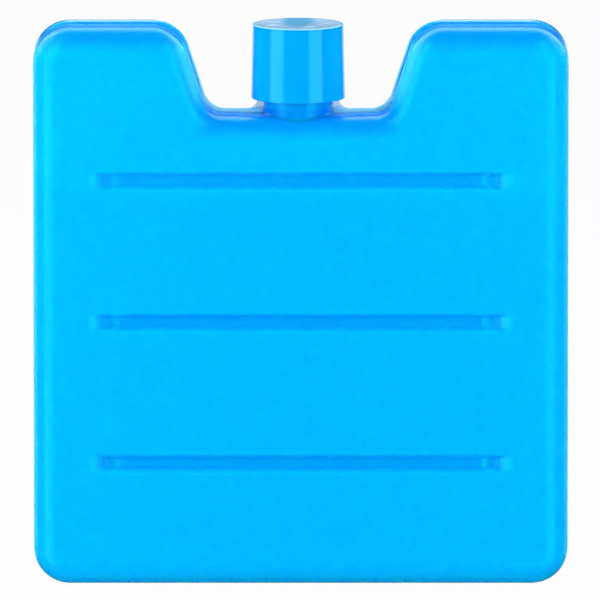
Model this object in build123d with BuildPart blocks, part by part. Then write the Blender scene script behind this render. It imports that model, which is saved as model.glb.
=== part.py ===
from build123d import *
from math import radians, sqrt, tan
import os

# Reusable ice pack: a blow-moulded freezer block, sealed with a press-on plug cap.
#
# Millimetres. X runs along the width, Y through the thickness with the front at -Y, and Z points up.
# The origin is at the middle of the foot, so the block stands on Z = 0. The two halves of the blow
# mould meet on the plane Y = 0, and the flash stands on that parting line.

# Block
block_width = 105.0
block_height = 110.3
block_thickness = 20.0
edge_rounding = 5.0
foot_corner = 7.2
outer_shoulder_corner = 7.2
inner_shoulder_corner = 7.0

# Notch between the shoulders, which leaves room for the neck and the cap
notch_shift = -0.55
notch_depth = 17.4
notch_floor_width = 35.6
notch_wall_lean = 18.0
notch_corner = 3.6
notch_dip = 0.5
notch_dip_rounding = 60.0

# Channels pressed into both faces
channel_count = 3
channel_pitch = 28.0
lowest_channel_height = 24.4
channel_inset = 11.5
channel_mouth = 3.5
channel_floor = 2.0
channel_depth = 1.8
channel_lip_break = 0.5
channel_end_radius = 6.0

# Neck, with a bead that the cap snaps over
neck_diameter = 13.6
neck_wall = 1.6
neck_root_rounding = 0.5
bore_depth = 13.0
bead_overhang = 0.9
bead_height = 2.0
bead_land = 0.6
bead_catch = 0.3

# Flash along the parting line
flash_thickness = 0.5
flash_height = 0.6
flash_corner = 4.2
fin_width = 1.2
fin_land = 0.2

# Cap
cap_height = 14.6
cap_lift = 2.7
cap_skirt = 1.05
cap_draft = 1.27
cap_roof = 1.3
cap_rim = 0.9
cap_edge_break = 0.2
dish_depth = 0.9
dish_floor_diameter = 5.0
snap_lip_height = 4.0
snap_lip_lead = 0.5
plug_length = 4.0
plug_wall = 1.0
plug_lead = 0.4

# Clearances
press_clearance = 0.05
cap_clearance = 0.15

# Levels and half sizes worked out from the values above
front_face = -block_thickness / 2
notch_floor = block_height - notch_depth
half_floor = notch_floor_width / 2
half_mouth = half_floor + notch_depth * tan(radians(notch_wall_lean))
neck_radius = neck_diameter / 2
bore_radius = neck_radius - neck_wall
bead_radius = neck_radius + bead_overhang
cap_base = notch_floor + cap_lift
cap_top = cap_base + cap_height
cap_ceiling = cap_top - dish_depth - cap_roof
snap_lip_top = cap_base + snap_lip_height
bead_base = snap_lip_top + cap_clearance
channel_end_lift = channel_end_radius - channel_depth
channel_end_reach = sqrt(channel_end_radius**2 - channel_end_lift**2)
half_channel_run = block_width / 2 - channel_inset - channel_end_reach
neck_section = Plane((notch_shift, 0, 0), x_dir=(1, 0, 0), z_dir=(0, -1, 0))
neck_line = Axis((notch_shift, 0, 0), (0, 0, 1))


def block_outline():
    """Draws the outline of the block, seen from the front."""
    side = block_width / 2
    FilletPolyline(
        (-side, 0),
        (side, 0),
        (side, block_height),
        (notch_shift + half_mouth, block_height),
        (notch_shift + half_floor, notch_floor),
        (notch_shift, notch_floor - notch_dip),
        (notch_shift - half_floor, notch_floor),
        (notch_shift - half_mouth, block_height),
        (-side, block_height),
        radius=[
            foot_corner,
            foot_corner,
            outer_shoulder_corner,
            inner_shoulder_corner,
            notch_corner,
            notch_dip_rounding,
            notch_corner,
            inner_shoulder_corner,
            outer_shoulder_corner,
        ],
        close=True,
    )


def flash_outline(side):
    """Draws the flash on one side of the neck, where side is 1 to the right and -1 to the left.

    The flash comes out of the block in the outer corner, follows the shoulder and the notch, and
    ends in a fin beside the neck that reaches up to the cap. The rest of it lies inside the block.
    """
    root = notch_floor - edge_rounding
    top = block_height + flash_height
    floor = notch_floor + flash_height
    inset = flash_height * tan(radians(90 - notch_wall_lean) / 2)
    start = side * (block_width / 2 - flash_height)
    mouth = notch_shift + side * (half_mouth - inset)
    corner = notch_shift + side * (half_floor - inset)
    fin = notch_shift + side * (neck_radius + fin_width)
    fin_rounding = cap_base - fin_land - floor
    FilletPolyline(
        (notch_shift, root),
        (start, root),
        (start, top),
        (mouth, top),
        (corner, floor),
        (fin, floor),
        (fin, cap_base),
        (notch_shift, cap_base),
        radius=[0, 0, outer_shoulder_corner, inner_shoulder_corner, flash_corner, fin_rounding, 0, 0],
        close=True,
    )


def channel_half_section():
    """Draws the upper half of a channel's section: broken lip, leaning wall and floor."""
    Polyline(
        (front_face, 0),
        (front_face, channel_mouth / 2 + channel_lip_break),
        (front_face + channel_lip_break, channel_mouth / 2),
        (front_face + channel_depth, channel_floor / 2),
        (front_face + channel_depth, 0),
        close=True,
    )


def bead_half_section():
    """Draws half of the bead's section, its catch below and its lead above."""
    inside = (bore_radius + neck_radius) / 2
    Polyline(
        (inside, bead_base),
        (neck_radius, bead_base),
        (bead_radius, bead_base + bead_catch),
        (bead_radius, bead_base + bead_catch + bead_land),
        (neck_radius, bead_base + bead_height),
        (inside, bead_base + bead_height),
        close=True,
    )


def cap_half_section():
    """Draws half of the cap's section: skirt, snap lip, dished roof and plug."""
    cavity_radius = bead_radius + cap_clearance
    lip_radius = neck_radius + cap_clearance
    top_radius = cavity_radius + cap_skirt
    base_radius = top_radius + cap_height * tan(radians(cap_draft))
    dish_radius = top_radius - cap_rim
    plug_radius = bore_radius - press_clearance
    plug_inside = plug_radius - plug_wall
    plug_tip = cap_ceiling - plug_length
    Polyline(
        (0, cap_top - dish_depth),
        (dish_floor_diameter / 2, cap_top - dish_depth),
        (dish_radius, cap_top),
        (top_radius, cap_top),
        (base_radius, cap_base),
        (lip_radius + snap_lip_lead, cap_base),
        (lip_radius, cap_base + snap_lip_lead),
        (lip_radius, snap_lip_top),
        (cavity_radius, snap_lip_top),
        (cavity_radius, cap_ceiling),
        (plug_radius, cap_ceiling),
        (plug_radius, plug_tip + plug_lead),
        (plug_radius - plug_lead, plug_tip),
        (plug_inside, plug_tip),
        (plug_inside, cap_ceiling),
        (0, cap_ceiling),
        close=True,
    )


# Cutter for one level of channels, front and back: a trough whose floor curves up to the face at its ends
with BuildPart() as channel_cutter:
    with BuildSketch(Plane.YZ.offset(half_channel_run)) as channel_section:
        with BuildLine():
            channel_half_section()
        make_face()
    extrude(channel_section.sketch, amount=-half_channel_run)
    end_axis = Axis((half_channel_run, front_face - channel_end_lift, 0), (0, 0, -1))
    revolve(channel_section.sketch, axis=end_axis, revolution_arc=90)
    mirror(about=Plane.XY)
    mirror(about=Plane.YZ)
    mirror(about=Plane.XZ)

# Pack body
with BuildPart() as pack_body:
    with BuildSketch(Plane.XZ):
        with BuildLine():
            block_outline()
        make_face()
    extrude(amount=block_thickness / 2, both=True)
    fillet(pack_body.faces().filter_by(Plane.XZ).edges(), edge_rounding)

    # Neck, rounded into the notch floor
    with BuildSketch(Plane.XY.offset(notch_floor - edge_rounding)):
        with Locations((notch_shift, 0)):
            Circle(neck_radius)
    extrude(amount=cap_ceiling - notch_floor + edge_rounding)
    fillet(pack_body.edges(Select.NEW).group_by(Axis.Z)[:-1], neck_root_rounding)

    # Bead round the neck, which the cap snaps over
    with BuildSketch(neck_section):
        with BuildLine():
            bead_half_section()
        make_face()
    revolve(axis=neck_line)

    # Flash on both sides of the neck
    with BuildSketch(Plane.XZ):
        for side in (-1, 1):
            with BuildLine():
                flash_outline(side)
            make_face()
    extrude(amount=flash_thickness / 2, both=True)

    # Filling bore
    with Locations((notch_shift, 0, cap_ceiling)):
        Hole(bore_radius, bore_depth)

    # Channels
    with Locations([(0, 0, lowest_channel_height + i * channel_pitch) for i in range(channel_count)]):
        add(channel_cutter.part, mode=Mode.SUBTRACT)

# Cap
with BuildPart() as cap:
    with BuildSketch(neck_section):
        with BuildLine():
            cap_half_section()
        make_face()
    revolve(axis=neck_line)
    chamfer(cap.edges().group_by(Axis.Z)[-1], cap_edge_break)
    chamfer(cap.edges().group_by(Axis.Z)[0].sort_by(SortBy.RADIUS)[-1], cap_edge_break)

pack_body.part.label = "pack_body"
cap.part.label = "cap"
os.makedirs("parts", exist_ok=True)
export_step(pack_body.part, "parts/pack_body.step")
export_step(cap.part, "parts/cap.step")
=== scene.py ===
from math import cos, pi, radians, sin, sqrt, tan

import bmesh
import bpy
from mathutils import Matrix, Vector


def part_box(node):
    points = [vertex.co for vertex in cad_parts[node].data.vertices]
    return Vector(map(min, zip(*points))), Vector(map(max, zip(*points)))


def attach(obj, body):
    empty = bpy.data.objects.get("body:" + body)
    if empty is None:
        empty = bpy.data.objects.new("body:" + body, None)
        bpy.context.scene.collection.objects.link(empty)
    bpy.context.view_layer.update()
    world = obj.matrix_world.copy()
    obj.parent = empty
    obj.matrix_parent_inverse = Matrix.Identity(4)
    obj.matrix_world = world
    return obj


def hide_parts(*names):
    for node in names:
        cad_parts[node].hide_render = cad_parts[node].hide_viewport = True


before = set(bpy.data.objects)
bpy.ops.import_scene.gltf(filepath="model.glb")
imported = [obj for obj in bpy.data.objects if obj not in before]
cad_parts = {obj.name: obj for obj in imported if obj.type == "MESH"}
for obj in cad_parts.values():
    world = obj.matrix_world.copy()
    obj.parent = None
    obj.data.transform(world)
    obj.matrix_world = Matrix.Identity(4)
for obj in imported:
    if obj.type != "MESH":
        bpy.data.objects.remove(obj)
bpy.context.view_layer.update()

# A reusable ice pack: a blow-moulded freezer block with a capped neck in the notch between its
# shoulders. Metres, in the frame's own axes: X along the width, the front at -Y, Z up.

MM = 0.001

# A point this near to a place counts as being there
touch = 0.01 * MM

# The block, from the frame
body_low, body_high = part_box("pack_body")
cap_low, cap_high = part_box("cap")
block_width = body_high.x - body_low.x
block_thickness = body_high.y - body_low.y
flash_height = 0.6 * MM
block_height = body_high.z - flash_height
edge_rounding = 5.0 * MM
outer_corner = 7.2 * MM
inner_shoulder_corner = 7.0 * MM

# The notch
notch_shift = (cap_low.x + cap_high.x) / 2
notch_depth = 17.4 * MM
notch_floor_width = 35.6 * MM
notch_wall_lean = radians(18.0)
wall_turn = pi / 2 - notch_wall_lean
notch_corner = 3.6 * MM
notch_dip = 0.5 * MM
notch_dip_rounding = 60.0 * MM
notch_floor = block_height - notch_depth
half_floor = notch_floor_width / 2
half_mouth = half_floor + notch_depth * tan(notch_wall_lean)

# The channels in both faces, pressed in passes that get shorter, so that their ends curve up
channel_pitch = 28.0 * MM
channel_heights = [24.4 * MM + i * channel_pitch for i in range(3)]
channel_inset = 11.5 * MM
half_channel = block_width / 2 - channel_inset
channel_depth = 1.8 * MM
channel_floor = 2.0 * MM
channel_wall = 1.1 * MM
pass_insets = [1.3 * MM, 1.8 * MM, 2.4 * MM, 3.0 * MM]
dimple_inset = 4.2 * MM
dimple_depth = 0.3 * MM
row_pitch = 0.25 * MM
rows_each_way = 10
column_pitch = 0.325 * MM
columns_per_end = 21

# The neck and the flash
neck_radius = 6.8 * MM
neck_root_rounding = 0.5 * MM
neck_in_cap = 4.0 * MM
neck_foot_width = 1.25 * neck_root_rounding
neck_root_sink = 0.08 * MM
flash_thickness = 0.5 * MM
flash_corner = 4.2 * MM
fin_width = 1.2 * MM
fin_land = 0.2 * MM

# The cap
cap_base = cap_low.z
cap_top = cap_high.z
cap_base_radius = (cap_high.x - cap_low.x) / 2
cap_draft = radians(1.27)
cap_top_radius = cap_base_radius - (cap_top - cap_base) * tan(cap_draft)
cap_cavity_radius = 7.85 * MM
cap_roof = 2.2 * MM
cap_ceiling = cap_top - cap_roof
cap_rim = 0.9 * MM
cap_edge_rounding = 0.15 * MM
dish_depth = 0.35 * MM

# The coolant's level, which shows faintly through the shell
coolant_level = 78.0 * MM


def select_none():
    bpy.ops.object.select_all(action="DESELECT")


def open_piece(piece):
    """Makes a piece the active one and opens it in edit mode, with nothing in it selected."""
    select_none()
    piece.select_set(True)
    bpy.context.view_layer.objects.active = piece
    bpy.ops.object.mode_set(mode="EDIT")
    bpy.ops.mesh.select_all(action="DESELECT")


def close_piece():
    bpy.ops.object.mode_set(mode="OBJECT")


def choose(kind, test):
    """Selects, in the piece that is open, the verts, edges or faces for which the test is true."""
    piece = bpy.context.edit_object
    bpy.ops.mesh.select_mode(type={"verts": "VERT", "edges": "EDGE", "faces": "FACE"}[kind])
    bpy.ops.mesh.select_all(action="DESELECT")
    mesh = bmesh.from_edit_mesh(piece.data)
    for element in getattr(mesh, kind):
        if test(element):
            element.select_set(True)
    mesh.select_flush_mode()
    bmesh.update_edit_mesh(piece.data)


def recalculate_normals():
    bpy.ops.mesh.select_all(action="SELECT")
    bpy.ops.mesh.normals_make_consistent(inside=False)


def apply_modifier(piece, kind, **settings):
    """Adds a modifier to a piece and applies it."""
    select_none()
    piece.select_set(True)
    bpy.context.view_layer.objects.active = piece
    modifier = piece.modifiers.new(kind.lower(), kind)
    for name, value in settings.items():
        setattr(modifier, name, value)
    bpy.ops.object.modifier_apply(modifier=modifier.name)


def apply_place(piece):
    """Moves a piece's place, turn and scale into its mesh."""
    select_none()
    piece.select_set(True)
    bpy.context.view_layer.objects.active = piece
    bpy.ops.object.transform_apply(location=True, rotation=True, scale=True)


def name_piece(name):
    piece = bpy.context.object
    piece.name = piece.data.name = name
    return piece


def draw_chain(name, corners):
    """Draws a chain of edges by extruding one point from corner to corner, and leaves it open."""
    select_none()
    bpy.ops.mesh.primitive_plane_add(size=MM)
    piece = name_piece(name)
    bpy.ops.object.mode_set(mode="EDIT")
    bpy.ops.mesh.select_mode(type="VERT")
    bpy.ops.mesh.merge(type="CENTER")
    bpy.ops.transform.translate(value=corners[0])
    for start, end in zip(corners, corners[1:]):
        step = Vector(end) - Vector(start)
        bpy.ops.mesh.extrude_region_move(TRANSFORM_OT_translate={"value": step})
    return piece


def round_corner(corner, radius, turn, segments=12):
    """Rounds one corner of the open drawing, where turn is the angle that its line turns by."""
    choose("verts", lambda v: (v.co - Vector(corner)).length < touch)
    bpy.ops.mesh.bevel(offset=radius * tan(turn / 2), segments=segments, affect="VERTICES")


def draw_plate(name, corners, roundings, thickness):
    """Draws a closed outline in the parting plane, rounds its corners and gives it a thickness."""
    piece = draw_chain(name, corners)
    bpy.ops.mesh.select_all(action="SELECT")
    bpy.ops.mesh.edge_face_add()
    for corner, radius, turn in roundings:
        round_corner(corner, radius, turn)
    bpy.ops.mesh.select_all(action="SELECT")
    bpy.ops.transform.translate(value=(0, -thickness / 2, 0))
    bpy.ops.mesh.extrude_region_move(TRANSFORM_OT_translate={"value": (0, thickness, 0)})
    recalculate_normals()
    close_piece()
    return piece


def cut_line(place, direction):
    """Cuts a line across both flat faces of the open shell, where a plane meets them."""
    choose("faces", lambda f: abs(f.normal.y) > 0.999)
    bpy.ops.mesh.bisect(plane_co=place, plane_no=direction)


def press_in(side, depth):
    """Presses what is chosen into the block, and softly what is near it."""
    bpy.ops.transform.translate(
        value=(0, -side * depth, 0),
        use_proportional_edit=True,
        proportional_edit_falloff="SMOOTH",
        proportional_size=channel_wall,
    )


def press_channel(level, side):
    """Presses a channel into one face of the open shell: soft walls, ramped ends and a dimple by each end."""
    face = block_thickness / 2
    for inset in pass_insets:
        choose("verts", lambda v: side * v.co.y > face - 1.01 * channel_depth
               and abs(v.co.z - level) < channel_floor / 2 + touch
               and abs(v.co.x) < half_channel - inset + touch)
        press_in(side, channel_depth / len(pass_insets))
    choose("verts", lambda v: side * v.co.y > face - 1.3 * channel_depth
           and abs(v.co.z - level) < channel_floor / 2 - 0.1 * MM
           and abs(abs(v.co.x) - half_channel + dimple_inset) < 0.5 * MM)
    press_in(side, dimple_depth)


def make_shell():
    """The block itself: outline, rounded rim, and the channels pressed into both faces."""
    side = block_width / 2
    dip_turn = 2 * notch_dip / half_floor
    outline = [
        (-side, 0, 0),
        (side, 0, 0),
        (side, 0, block_height),
        (notch_shift + half_mouth, 0, block_height),
        (notch_shift + half_floor, 0, notch_floor),
        (notch_shift, 0, notch_floor - notch_dip),
        (notch_shift - half_floor, 0, notch_floor),
        (notch_shift - half_mouth, 0, block_height),
        (-side, 0, block_height),
    ]
    radii = [outer_corner] * 3 + [inner_shoulder_corner, notch_corner, notch_dip_rounding]
    radii += [notch_corner, inner_shoulder_corner, outer_corner]
    turns = [pi / 2] * 3 + [wall_turn] * 2 + [dip_turn] + [wall_turn] * 2 + [pi / 2]
    shell = draw_plate("pack_shell", outline, zip(outline, radii, turns), block_thickness)

    face = block_thickness / 2
    open_piece(shell)
    choose("edges", lambda e: all(abs(abs(v.co.y) - face) < touch for v in e.verts)
           and e.verts[0].co.y * e.verts[1].co.y > 0)
    bpy.ops.mesh.bevel(offset=edge_rounding, segments=16, profile=0.5, clamp_overlap=False)
    recalculate_normals()

    for level in channel_heights:
        for row in range(-rows_each_way, rows_each_way + 1):
            cut_line((0, 0, level + row * row_pitch), (0, 0, 1))
    for column in range(columns_per_end):
        reach = half_channel + row_pitch - column * column_pitch
        for end in (-1, 1):
            cut_line((end * reach, 0, 0), (1, 0, 0))
    for level in channel_heights:
        for facing in (-1, 1):
            press_channel(level, facing)
    close_piece()
    return shell


def saddle_height(point):
    """Height of the notch floor, with its rounded edges, above or below a point near the neck."""
    beyond = max(0, abs(point.y) - (block_thickness / 2 - edge_rounding))
    dip = notch_dip * (1 - abs(point.x - notch_shift) / half_floor)
    drop = edge_rounding - sqrt(edge_rounding ** 2 - min(beyond, edge_rounding) ** 2)
    return notch_floor - dip - drop


def make_neck():
    """The neck, its foot spread over the notch floor and rounded into it."""
    select_none()
    bpy.ops.mesh.primitive_cylinder_add(
        vertices=96,
        radius=neck_radius,
        depth=cap_base + neck_in_cap - notch_floor,
        location=(notch_shift, 0, (cap_base + neck_in_cap + notch_floor) / 2),
    )
    neck = name_piece("neck")
    apply_place(neck)
    spread = (neck_radius + neck_foot_width) / neck_radius
    open_piece(neck)
    choose("faces", lambda f: f.normal.z < -0.5)
    bpy.ops.mesh.extrude_region_move()
    bpy.ops.transform.resize(value=(spread, spread, 1))
    bpy.ops.mesh.delete(type="FACE")
    mesh = bmesh.from_edit_mesh(neck.data)
    for vert in mesh.verts:
        if vert.co.z < notch_floor + touch:
            vert.co.z = saddle_height(vert.co)
    bmesh.update_edit_mesh(neck.data)
    middle = Vector((notch_shift, 0))
    choose("edges", lambda e: all(
        v.co.z < notch_floor + touch
        and (v.co.xy - middle).length < neck_radius + touch for v in e.verts))
    bpy.ops.mesh.bevel(offset=neck_root_rounding, segments=8, profile=0.5, clamp_overlap=False)
    choose("verts", lambda v: (v.co.xy - middle).length > neck_radius * spread - touch)
    bpy.ops.transform.translate(value=(0, 0, -neck_root_sink))
    close_piece()
    return neck


def make_flash(side):
    """The thin flash on one side of the neck, where side is 1 to the right and -1 to the left."""
    root = notch_floor - edge_rounding
    top = block_height + flash_height
    floor = notch_floor + flash_height
    inset = flash_height * tan(wall_turn / 2)
    start = side * (block_width / 2 - flash_height)
    mouth = notch_shift + side * (half_mouth - inset)
    corner = notch_shift + side * (half_floor - inset)
    fin = notch_shift + side * (neck_radius + fin_width)
    fin_rounding = cap_base - fin_land - floor
    outline = [
        (notch_shift, 0, root),
        (start, 0, root),
        (start, 0, top),
        (mouth, 0, top),
        (corner, 0, floor),
        (fin, 0, floor),
        (fin, 0, cap_base),
        (notch_shift, 0, cap_base),
    ]
    roundings = [
        (outline[2], outer_corner, pi / 2),
        (outline[3], inner_shoulder_corner, wall_turn),
        (outline[4], flash_corner, wall_turn),
        (outline[5], fin_rounding, pi / 2),
    ]
    name = "flash_right" if side > 0 else "flash_left"
    return draw_plate(name, outline, roundings, flash_thickness)


def make_cap():
    """The cap, spun from its half section: dished top, drafted skirt and open cavity."""
    dish_radius = cap_top_radius - cap_rim
    dish_curve = (dish_radius ** 2 + dish_depth ** 2) / (2 * dish_depth)
    steps = 10
    dish = []
    for i in range(steps + 1):
        reach = dish_radius * i / steps
        dish.append((reach, cap_top - dish_depth + dish_curve - sqrt(dish_curve ** 2 - reach ** 2)))
    section = dish + [
        (cap_top_radius, cap_top),
        (cap_base_radius, cap_base),
        (cap_cavity_radius, cap_base),
        (cap_cavity_radius, cap_ceiling),
        (0, cap_ceiling),
    ]
    points = [(notch_shift + x, 0, z) for x, z in section]
    cap = draw_chain("snap_cap", points)
    for corner in (points[steps], points[steps + 1], points[steps + 2]):
        round_corner(corner, cap_edge_rounding, pi / 2, segments=4)
    bpy.ops.mesh.select_all(action="SELECT")
    bpy.ops.mesh.spin(steps=128, angle=2 * pi, center=(notch_shift, 0, 0), axis=(0, 0, 1))
    bpy.ops.mesh.select_all(action="SELECT")
    bpy.ops.mesh.remove_doubles(threshold=0.001 * MM)
    recalculate_normals()
    close_piece()
    return cap


def smooth(piece, angle=60):
    """Shades a piece smooth, with the large flat faces keeping their own normals."""
    select_none()
    piece.select_set(True)
    bpy.context.view_layer.objects.active = piece
    bpy.ops.object.shade_smooth_by_angle(angle=radians(angle))
    apply_modifier(piece, "WEIGHTED_NORMAL", keep_sharp=True)


class Wire:
    """One output in a finish. Arithmetic on it adds Math nodes."""

    def __init__(self, finish, socket):
        self.finish, self.socket = finish, socket

    def __add__(self, other):
        return self.finish.maths("ADD", self, other)

    def __sub__(self, other):
        return self.finish.maths("SUBTRACT", self, other)

    def __rsub__(self, other):
        return self.finish.maths("SUBTRACT", other, self)

    def __mul__(self, other):
        return self.finish.maths("MULTIPLY", self, other)

    def __abs__(self):
        return self.finish.maths("ABSOLUTE", self)

    __radd__ = __add__
    __rmul__ = __mul__


class Finish:
    """A procedural material on one Principled shader, read from the piece's own coordinates."""

    def __init__(self, name, **constants):
        self.material = bpy.data.materials.new(name)
        self.material.use_nodes = True
        self.tree = self.material.node_tree
        self.shader = self.tree.nodes["Principled BSDF"]
        self.set_shader(**constants)
        self.place = self.node("ShaderNodeTexCoord").outputs["Object"]
        split = self.node("ShaderNodeSeparateXYZ", inputs={"Vector": self.place})
        self.x, self.y, self.z = (Wire(self, split.outputs[i]) for i in range(3))

    def node(self, kind, settings=None, inputs=None):
        """Adds a node with its settings, then the values or wires of its inputs."""
        node = self.tree.nodes.new(kind)
        for name, value in (settings or {}).items():
            setattr(node, name, value)
        for name, value in (inputs or {}).items():
            self.feed(node.inputs[name], value)
        return node

    def feed(self, socket, value):
        if isinstance(value, Wire):
            value = value.socket
        if isinstance(value, bpy.types.NodeSocket):
            self.tree.links.new(value, socket)
        else:
            socket.default_value = value

    def set_shader(self, **sockets):
        """Feeds the shader's sockets, whose names have underscores for spaces here."""
        for name, value in sockets.items():
            self.feed(self.shader.inputs[name.replace("_", " ")], value)

    def maths(self, operation, *values):
        node = self.node("ShaderNodeMath", {"operation": operation}, dict(enumerate(values)))
        return Wire(self, node.outputs[0])

    def step(self, value, low, high):
        """Runs smoothly from 0 where value is low to 1 where it is high."""
        node = self.node(
            "ShaderNodeMapRange",
            {"interpolation_type": "SMOOTHSTEP"},
            {"Value": value, "From Min": low, "From Max": high},
        )
        return Wire(self, node.outputs["Result"])

    def fade(self, value, low, high):
        """Runs smoothly from 1 where value is low to 0 where it is high."""
        return 1 - self.step(value, low, high)

    def noise(self, size, detail=2.0, stretch=(1, 1, 1)):
        """Noise from 0 to 1 with features of about one size, in metres."""
        mapped = self.node("ShaderNodeMapping", inputs={"Vector": self.place, "Scale": stretch})
        node = self.node(
            "ShaderNodeTexNoise",
            inputs={"Vector": mapped.outputs["Vector"], "Scale": 1 / size, "Detail": detail},
        )
        return Wire(self, node.outputs["Fac"])

    def blend(self, factor, first, second):
        """Mixes two colours."""
        node = self.node("ShaderNodeMix", {"data_type": "RGBA"}, {0: factor, 6: first, 7: second})
        return Wire(self, node.outputs[2])

    def lay(self, tone, layers):
        """Lays colours over a tone, one after another, each by its own mask."""
        for mask, layer in layers:
            tone = self.blend(mask, tone, layer)
        return tone

    def length(self, across, along):
        """Length of the diagonal of two measures."""
        return self.maths("SQRT", across * across + along * along)

    def bump(self, height):
        """Turns a height, in metres, into the shader's normal."""
        node = self.node("ShaderNodeBump", inputs={"Height": height, "Distance": 1.0, "Strength": 1.0})
        self.set_shader(Normal=node.outputs["Normal"])


def colour(red, green, blue):
    return (red, green, blue, 1.0)


def from_notch_wall(finish):
    """How far a point is from the notch's leaning walls: above 0 in the notch, below 0 in the block."""
    lean = tan(notch_wall_lean)
    return half_floor - notch_floor * lean + finish.z * lean - abs(finish.x - notch_shift)


def beyond_outline(finish):
    """How far a point is beyond the block's outline in the parting plane, past its top or in its notch."""
    in_notch = finish.maths("MINIMUM", from_notch_wall(finish), finish.z - notch_floor)
    return finish.maths("MAXIMUM", finish.z - block_height, in_notch)


def on_channel_level(finish, full, none):
    """Mask for the levels of the channels: 1 nearer to one than full, and 0 farther than none."""
    top_level = channel_heights[-1]
    from_level = finish.maths("PINGPONG", finish.z - channel_heights[0], channel_pitch / 2)
    below_notch = finish.fade(finish.z, top_level + 3 * MM, top_level + 4 * MM)
    return below_notch * finish.fade(from_level, full, none)


def channel_painted_shade(finish):
    """Mask for the walls and the floors of the channels, where shade is painted in."""
    sunk = finish.step(block_thickness / 2 - abs(finish.y), 0.3 * MM, 1.4 * MM)
    along = finish.fade(abs(finish.x), half_channel - 2 * MM, half_channel)
    return on_channel_level(finish, 1.6 * MM, 2.4 * MM) * along * sunk


def channel_end_painted_highlight(finish):
    """Mask for the painted highlights on the lip and in the dimple on either side of each channel's end wall.
    """
    end_wall = half_channel - 2.2 * MM
    reach = abs(finish.x)
    mask = finish.step(abs(reach - end_wall), 1.1 * MM, 2.1 * MM)
    mask = mask * finish.step(reach, end_wall - 3.2 * MM, end_wall - 2.4 * MM)
    mask = mask * finish.fade(reach, end_wall + 2.4 * MM, end_wall + 3.0 * MM)
    return mask * on_channel_level(finish, 0.5 * MM, 2.3 * MM)


def notch_wall_painted_highlight(finish):
    """Mask for the painted highlight on the rounded edges along the leaning walls of the notch."""
    mask = finish.step(from_notch_wall(finish), -2.4 * MM, -0.9 * MM)
    mask = mask * finish.step(finish.z, notch_floor + 1 * MM, notch_floor + 6 * MM)
    return mask * finish.fade(finish.z, block_height - 5 * MM, block_height - 2 * MM)


def make_shell_finish(name, full, empty, rim):
    """Satin sky blue polyethylene, lighter above the coolant, with painted shade where it turns up to the
    flash, in the channels, on the notch crest and in front of the flash, and painted highlights at the
    channel ends, along the notch walls and on the sides.
    """
    finish = Finish(
        name,
        Specular_IOR_Level=0.5,
        Specular_Tint=colour(0.0, 0.85, 1.0),
        IOR=1.5,
        Subsurface_Weight=1.0,
        Subsurface_Radius=(0.1, 0.7, 2.5),
        Subsurface_Scale=2.0 * MM,
        Sheen_Weight=0.15,
        Sheen_Roughness=0.3,
        Sheen_Tint=colour(0.1, 0.9, 1.0),
    )
    wave = 2.0 * MM * finish.noise(14 * MM, detail=1.0)
    above = finish.step(finish.z + wave, coolant_level - 2 * MM, coolant_level + 3 * MM)
    tone = finish.blend(above, full, empty)

    between_walls = finish.fade(abs(finish.x - notch_shift), half_floor - 1 * MM, half_floor + 3 * MM)
    # Painted shade: the roundings that turn up to the flash take the deeper rim tone, for the little light
    # that falls on them from above
    on_shoulder = finish.step(finish.z, block_height - edge_rounding, block_height - 1.2 * MM)
    on_floor = between_walls * finish.step(finish.z, notch_floor - edge_rounding, notch_floor - 1.2 * MM)
    turned_up_painted_shade = finish.maths("MAXIMUM", on_shoulder, on_floor)
    # Painted shade on the flat crest of the notch floor
    crest_painted_shade = between_walls * finish.step(finish.z, notch_floor - 0.9 * MM, notch_floor - 0.4 * MM)
    crest_painted_shade = crest_painted_shade * finish.fade(finish.z, notch_floor + 0.5 * MM, notch_floor + 1.5 * MM)
    # Painted shadow of the flash on the strip of the top in front of it
    beside_seam = finish.fade(abs(finish.y), 5.3 * MM, 6.6 * MM)
    flash_painted_shadow = beside_seam * finish.maths("MAXIMUM", on_shoulder, crest_painted_shade)
    # Painted glow on the sides, for the paler edge that the light gives them
    side_painted_glow = finish.step(abs(finish.x), block_width / 2 - 1.1 * MM, block_width / 2)
    mottle = finish.noise(9 * MM, detail=3.0)
    # Over the coolant's tone go painted shade (turned-up roundings, channels, notch crest, in front of the
    # flash), painted highlights (channel ends, notch walls, sides) and a random mottle
    tone = finish.lay(tone, [
        (turned_up_painted_shade, rim),
        (0.4 * channel_painted_shade(finish), colour(0.0, 0.385, 0.96)),
        (0.4 * channel_end_painted_highlight(finish), colour(0.0, 0.68, 1.0)),
        (0.7 * notch_wall_painted_highlight(finish), colour(0.05, 0.68, 1.0)),
        (0.5 * crest_painted_shade, colour(0.0, 0.25, 0.9)),
        (0.6 * flash_painted_shadow, colour(0.0, 0.2, 0.9)),
        (side_painted_glow, colour(0.07, 0.66, 1.0)),
        (0.1 * mottle, colour(0.02, 0.56, 1.0)),
    ])
    finish.set_shader(Base_Color=tone, Roughness=0.21 + 0.08 * (mottle - 0.5) + 0.04 * flash_painted_shadow)

    ripple = 0.012 * MM * finish.noise(18 * MM, detail=1.0)
    peel = 0.0006 * MM * finish.noise(0.5 * MM, detail=1.0)
    seam = 0.05 * MM * finish.fade(abs(finish.y), 0.10 * MM, 0.35 * MM)
    finish.bump(ripple + peel + seam)
    return finish.material


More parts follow.
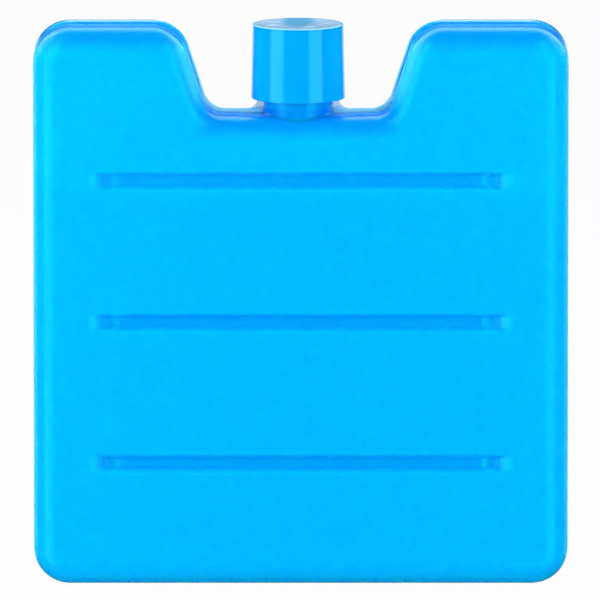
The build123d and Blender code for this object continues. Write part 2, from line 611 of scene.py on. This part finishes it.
def make_flash_finish():
    """The same polyethylene pressed thin, paler and clearer toward its edge, partly as thin plastic and
    partly as painted light shining through it, with a painted glow where it stands in the shade under the
    cap.
    """
    finish = Finish(
        "thin_flash",
        Specular_IOR_Level=0.3,
        Specular_Tint=colour(0.0, 0.85, 1.0),
        Roughness=0.3,
        Subsurface_Weight=1.0,
        Subsurface_Radius=(0.8, 1.0, 1.0),
        Subsurface_Scale=1.0 * MM,
    )
    # Paler toward the thin edge: partly the thin plastic's own colour, partly painted light shining through
    # it
    cloud = finish.noise(1.2 * MM, detail=2.0)
    pale = finish.blend(cloud, colour(0.36, 0.74, 0.96), colour(0.50, 0.84, 1.0))
    thin = finish.step(beyond_outline(finish), 0.1 * MM, flash_height)
    # Painted glow on the flash in the notch, which stands in the shade under the cap
    in_notch = finish.fade(finish.z, cap_base - 1 * MM, cap_base + 4 * MM)
    tone = finish.lay(colour(0.02, 0.5, 1.0), [(thin, pale), (in_notch, colour(0.42, 0.97, 1.0))])

    fin_edge = neck_radius + fin_width
    on_fin = finish.fade(abs(finish.x - notch_shift), fin_edge, fin_edge + 1.5 * MM)
    on_fin = on_fin * finish.step(finish.z, notch_floor + 0.4 * MM, notch_floor + 1.2 * MM)
    finish.set_shader(Base_Color=tone, Alpha=0.94 - 0.1 * thin - 0.4 * on_fin)
    return finish.material


def make_cap_finish():
    """Smooth sky blue moulding, glossier than the shell, with painted shade under its top edge, a painted
    highlight on that edge, and painted shade and reflection on its top.
    """
    finish = Finish(
        "smooth_sky_blue_cap",
        Specular_IOR_Level=0.7,
        Specular_Tint=colour(0.1, 0.9, 1.0),
        IOR=1.5,
        Sheen_Weight=0.15,
        Sheen_Roughness=0.3,
        Sheen_Tint=colour(0.1, 0.9, 1.0),
    )
    cloud = finish.noise(6 * MM, detail=2.0)
    side = finish.blend(cloud, colour(0.0, 0.33, 0.95), colour(0.0, 0.355, 0.97))
    across = finish.x - notch_shift
    reach = finish.length(across, finish.y)
    # Painted shade just under the top edge
    under_rim_painted_shade = finish.step(finish.z, cap_top - 0.6 * MM, cap_top - 0.25 * MM)
    # Painted highlight on the rounding of the top edge
    rim_painted_highlight = finish.step(finish.z, cap_top - 0.2 * MM, cap_top - 0.08 * MM)
    # The top is painted darker and greyer, for the shade and reflection that it shows
    on_top = finish.step(finish.z, cap_top - 0.45 * MM, cap_top - 0.38 * MM)
    on_top = on_top * finish.fade(reach, cap_top_radius - 0.2 * MM, cap_top_radius - 0.12 * MM)

    # The top is painted pale round a bluer place behind its middle, as a painted reflection of the dish, and
    # scuffed where it is pale
    from_blue = finish.length(across, 0.45 * (finish.y - 5 * MM))
    pale = on_top * finish.step(from_blue, 1.8 * MM, 4.2 * MM)
    scuffs = finish.step(finish.noise(0.9 * MM, detail=3.0, stretch=(0.25, 2.0, 1.0)), 0.52, 0.68)
    worn_and_reflection = scuffs * pale
    tone = finish.lay(side, [
        (under_rim_painted_shade, colour(0.0, 0.27, 0.74)),
        (rim_painted_highlight, colour(0.25, 0.75, 1.0)),
        (on_top, colour(0.12, 0.43, 0.78)),
        (0.75 * pale + 0.25 * worn_and_reflection, colour(0.48, 0.66, 0.92)),
    ])
    finish.set_shader(Base_Color=tone, Roughness=0.16 + 0.2 * worn_and_reflection)
    finish.bump(0.004 * MM * finish.noise(3 * MM, detail=1.0))
    return finish.material


def dress(piece, material, node):
    """Gives a piece its finish, attaches it to the root body and hides the CAD node that it stands for."""
    piece.data.materials.clear()
    piece.data.materials.append(material)
    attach(piece, "root")
    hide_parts(node)


def softbox(name, azimuth, elevation, distance, width, height, brightness, glossy=True):
    """An area lamp that faces the middle of the block. Azimuth 0 is the camera's side.

    A brightness of 1 is that of a white wall, whatever the lamp's size and distance. A lamp that
    isn't glossy lights the object without a reflection of its own.
    """
    lamp = bpy.data.lights.new(name, "AREA")
    lamp.shape = "RECTANGLE"
    lamp.size, lamp.size_y = width, height
    lamp.energy = pi * width * height * brightness
    holder = bpy.data.objects.new(name, lamp)
    bpy.context.scene.collection.objects.link(holder)
    a, e = radians(azimuth), radians(elevation)
    away = Vector((sin(a) * cos(e), -cos(a) * cos(e), sin(e)))
    holder.location = Vector((0, 0, block_height / 2)) + away * distance
    holder.rotation_euler = away.to_track_quat("Z", "Y").to_euler()
    holder.visible_glossy = glossy


def make_studio():
    """A pale floor and white surroundings, with two tall softboxes in front and low fills all round."""
    white_seen = 0.965
    room_light = 0.02
    select_none()
    bpy.ops.mesh.primitive_plane_add(size=6.0)
    floor = name_piece("floor")
    finish = Finish(
        "pale_floor",
        Base_Color=colour(0.55, 0.55, 0.55),
        Roughness=0.9,
        Specular_IOR_Level=0.0,
    )
    path = finish.node("ShaderNodeLightPath")
    white = finish.node("ShaderNodeEmission", inputs={"Color": colour(1, 1, 1), "Strength": 1.0})
    mix = finish.node("ShaderNodeMixShader")
    seen = Wire(finish, path.outputs["Is Camera Ray"]) * white_seen
    finish.feed(mix.inputs[0], seen)
    finish.feed(mix.inputs[1], finish.shader.outputs[0])
    finish.feed(mix.inputs[2], white.outputs[0])
    finish.feed(finish.tree.nodes["Material Output"].inputs["Surface"], mix.outputs[0])
    floor.data.materials.append(finish.material)
    floor.visible_glossy = floor.visible_diffuse = floor.visible_shadow = False

    world = bpy.data.worlds.new("white_studio")
    bpy.context.scene.world = world
    world.use_nodes = True
    nodes, links = world.node_tree.nodes, world.node_tree.links
    background = nodes["Background"]
    background.inputs["Color"].default_value = colour(1, 1, 1)
    path = nodes.new("ShaderNodeLightPath")
    level = nodes.new("ShaderNodeMapRange")
    level.inputs["To Min"].default_value = room_light
    level.inputs["To Max"].default_value = 1.0
    links.new(path.outputs["Is Camera Ray"], level.inputs["Value"])
    links.new(level.outputs["Result"], background.inputs["Strength"])

    softbox("softbox_left", -54, 8, 0.2, 0.124, 0.5, 3.3)
    softbox("softbox_right", 44, 8, 0.22, 0.134, 0.52, 3.1)
    softbox("key", 0, 40, 0.8, 0.8, 0.4, 1.1, glossy=False)
    softbox("table_glow", 0, -72, 0.3, 0.6, 0.3, 0.8, glossy=False)
    softbox("fill_left", -118, 35, 0.6, 0.5, 0.5, 1.6)
    softbox("fill_right", 118, 35, 0.6, 0.5, 0.5, 1.6)
    softbox("ceiling", 180, 68, 0.5, 0.9, 0.4, 0.9, glossy=False)
    softbox("backdrop", 180, 51, 0.8, 1.6, 0.43, 2.0)
    softbox("horizon", 180, -11, 1.2, 1.4, 0.42, 1.0)


def make_camera():
    """The photograph's view: level with the block and 8.5 degrees above it, from far off."""
    target = Vector((-0.17 * MM, 0, 55.43 * MM))
    elevation = radians(8.5)
    distance = 3.5
    lens_per_metre = 305.4
    camera = bpy.data.cameras.new("camera")
    camera.sensor_width = 36
    camera.lens = lens_per_metre * distance
    holder = bpy.data.objects.new("camera", camera)
    bpy.context.scene.collection.objects.link(holder)
    away = Vector((0, -cos(elevation), sin(elevation)))
    holder.location = target + away * distance
    holder.rotation_euler = away.to_track_quat("Z", "Y").to_euler()
    bpy.context.scene.camera = holder
    bpy.context.scene.view_settings.view_transform = "Standard"


# The last tone of each finish is the painted shade on the roundings that turn up to the flash
shell_finish = make_shell_finish(
    "satin_sky_blue_shell", colour(0.0, 0.455, 0.965), colour(0.0, 0.475, 0.975), colour(0.0, 0.31, 0.96)
)
# The neck takes a darker copy of the shell's finish: painted shade under the cap
neck_finish = make_shell_finish(
    "painted_shade_blue_neck", colour(0.0, 0.39, 0.96), colour(0.0, 0.39, 0.96), colour(0.0, 0.38, 0.98)
)
flash_finish = make_flash_finish()
cap_finish = make_cap_finish()

shell = make_shell()
neck = make_neck()
flash_left = make_flash(-1)
flash_right = make_flash(1)
cap = make_cap()

for piece in (shell, neck, flash_left, flash_right, cap):
    smooth(piece)

dress(shell, shell_finish, "pack_body")
dress(neck, neck_finish, "pack_body")
dress(flash_left, flash_finish, "pack_body")
dress(flash_right, flash_finish, "pack_body")
dress(cap, cap_finish, "cap")

make_studio()
make_camera()
